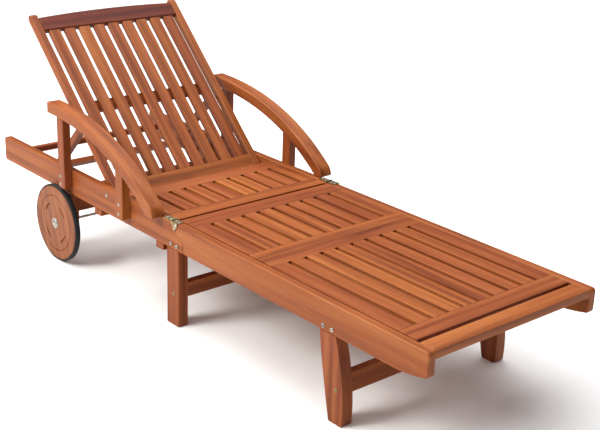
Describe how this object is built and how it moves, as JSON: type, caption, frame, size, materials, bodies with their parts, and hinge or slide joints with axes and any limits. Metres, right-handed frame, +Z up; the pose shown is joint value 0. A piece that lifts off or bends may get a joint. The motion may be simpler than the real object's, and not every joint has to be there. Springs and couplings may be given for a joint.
{
  "type": "reclining wooden sun lounger",
  "caption": "Slatted wooden sun lounger with wheels at the head, arched armrests, a propped reclining backrest, a raising leg rest and a foot section that folds up.",
  "frame": {"origin": "on the floor under the middle of the lounger's length and width", "axes": "+Y towards the head end along the rails, +X across, +Z up"},
  "size_m": [0.68, 2, 0.7574],
  "materials": {
    "oiled_hardwood": "oiled orange-red hardwood, satin",
    "dark_hardwood": "darker oiled hardwood, satin",
    "wheel_hardwood": "oiled hardwood disc, satin",
    "hinge_brass": "yellow plated steel, satin",
    "axle_steel": "zinc plated steel",
    "tyre_rubber": "black rubber, matt"
  },
  "bodies": {
    "rear_frame": {"rear_rail_left": "oiled_hardwood", "rear_rail_right": "oiled_hardwood", "seat_front_rail": "oiled_hardwood", "seat_rear_rail": "oiled_hardwood", "head_cross_rail": "oiled_hardwood", "under_bar_front": "oiled_hardwood", "under_bar_rear": "oiled_hardwood", "seat_panel": "oiled_hardwood", "prop_rack_left": "oiled_hardwood", "prop_rack_right": "oiled_hardwood", "mid_leg_left": "oiled_hardwood", "mid_leg_right": "oiled_hardwood", "mid_stretcher": "oiled_hardwood", "armrest_left": "oiled_hardwood", "armrest_right": "oiled_hardwood", "arm_post_front_left": "oiled_hardwood", "arm_post_front_right": "oiled_hardwood", "arm_post_rear_left": "oiled_hardwood", "arm_post_rear_right": "oiled_hardwood", "axle": "axle_steel", "axle_bracket_left": "oiled_hardwood", "axle_bracket_right": "oiled_hardwood", "axle_beam": "oiled_hardwood", "fold_hinge_rear_left": "hinge_brass", "fold_hinge_rear_right": "hinge_brass"},
    "foot_frame": {"foot_rail_left": "oiled_hardwood", "foot_rail_right": "oiled_hardwood", "hinge_cross_rail": "oiled_hardwood", "knee_cross_rail": "oiled_hardwood", "foot_board": "oiled_hardwood", "leg_rest_ledger_left": "oiled_hardwood", "leg_rest_ledger_right": "oiled_hardwood", "front_leg_left": "oiled_hardwood", "front_leg_right": "oiled_hardwood", "front_stretcher": "oiled_hardwood", "fold_hinge_front_left": "hinge_brass", "fold_hinge_front_right": "hinge_brass"},
    "thigh": {"thigh_panel": "oiled_hardwood"},
    "calf": {"calf_panel": "oiled_hardwood"},
    "backrest": {"back_stile_left": "oiled_hardwood", "back_stile_right": "oiled_hardwood", "back_top_rail": "dark_hardwood", "back_bottom_rail": "oiled_hardwood", "back_slat_1": "oiled_hardwood", "back_slat_2": "oiled_hardwood", "back_slat_3": "oiled_hardwood", "back_slat_4": "oiled_hardwood", "back_slat_5": "oiled_hardwood", "back_slat_6": "oiled_hardwood", "back_slat_7": "oiled_hardwood", "back_slat_8": "oiled_hardwood", "back_slat_9": "oiled_hardwood", "back_batten": "oiled_hardwood"},
    "prop": {"prop_arm_left": "oiled_hardwood", "prop_arm_right": "oiled_hardwood", "prop_bar": "oiled_hardwood"},
    "left_wheel": {"wheel_left": "wheel_hardwood", "tyre_left": "tyre_rubber"},
    "right_wheel": {"wheel_right": "wheel_hardwood", "tyre_right": "tyre_rubber"}
  },
  "joints": [
    {"name": "foot_frame_fold", "type": "hinge", "parent": "rear_frame", "child": "foot_frame", "pos_m": [0, 0.008, 0.3213], "axis": [-1, 0, 0], "range_deg": [0, 130]},
    {"name": "thigh_raise", "type": "hinge", "parent": "foot_frame", "child": "thigh", "pos_m": [0, -0.00385, 0.30915], "axis": [-1, 0, 0], "range_deg": [0, 32]},
    {"name": "knee", "type": "hinge", "parent": "thigh", "child": "calf", "pos_m": [0, -0.361, 0.2968], "axis": [-1, 0, 0], "range_deg": [-52.5, 0]},
    {"name": "back_recline", "type": "hinge", "parent": "rear_frame", "child": "backrest", "pos_m": [0, 0.352, 0.296], "axis": [1, 0, 0], "range_deg": [-43.2, 9.5]},
    {"name": "prop_fold", "type": "hinge", "parent": "backrest", "child": "prop", "pos_m": [0, 0.56452, 0.46265], "axis": [1, 0, 0], "range_deg": [-19.5, 88.4]},
    {"name": "left_wheel_spin", "type": "hinge", "parent": "rear_frame", "child": "left_wheel", "pos_m": [-0.321, 0.622, 0.127], "axis": [1, 0, 0], "continuous": true},
    {"name": "right_wheel_spin", "type": "hinge", "parent": "rear_frame", "child": "right_wheel", "pos_m": [0.321, 0.622, 0.127], "axis": [1, 0, 0], "continuous": true}
  ],
  "couplings": [
    {"joint": "prop_fold", "follows": "back_recline", "ratio": -2.045},
    {"joint": "knee", "follows": "thigh_raise", "ratio": -1.604}
  ]
}
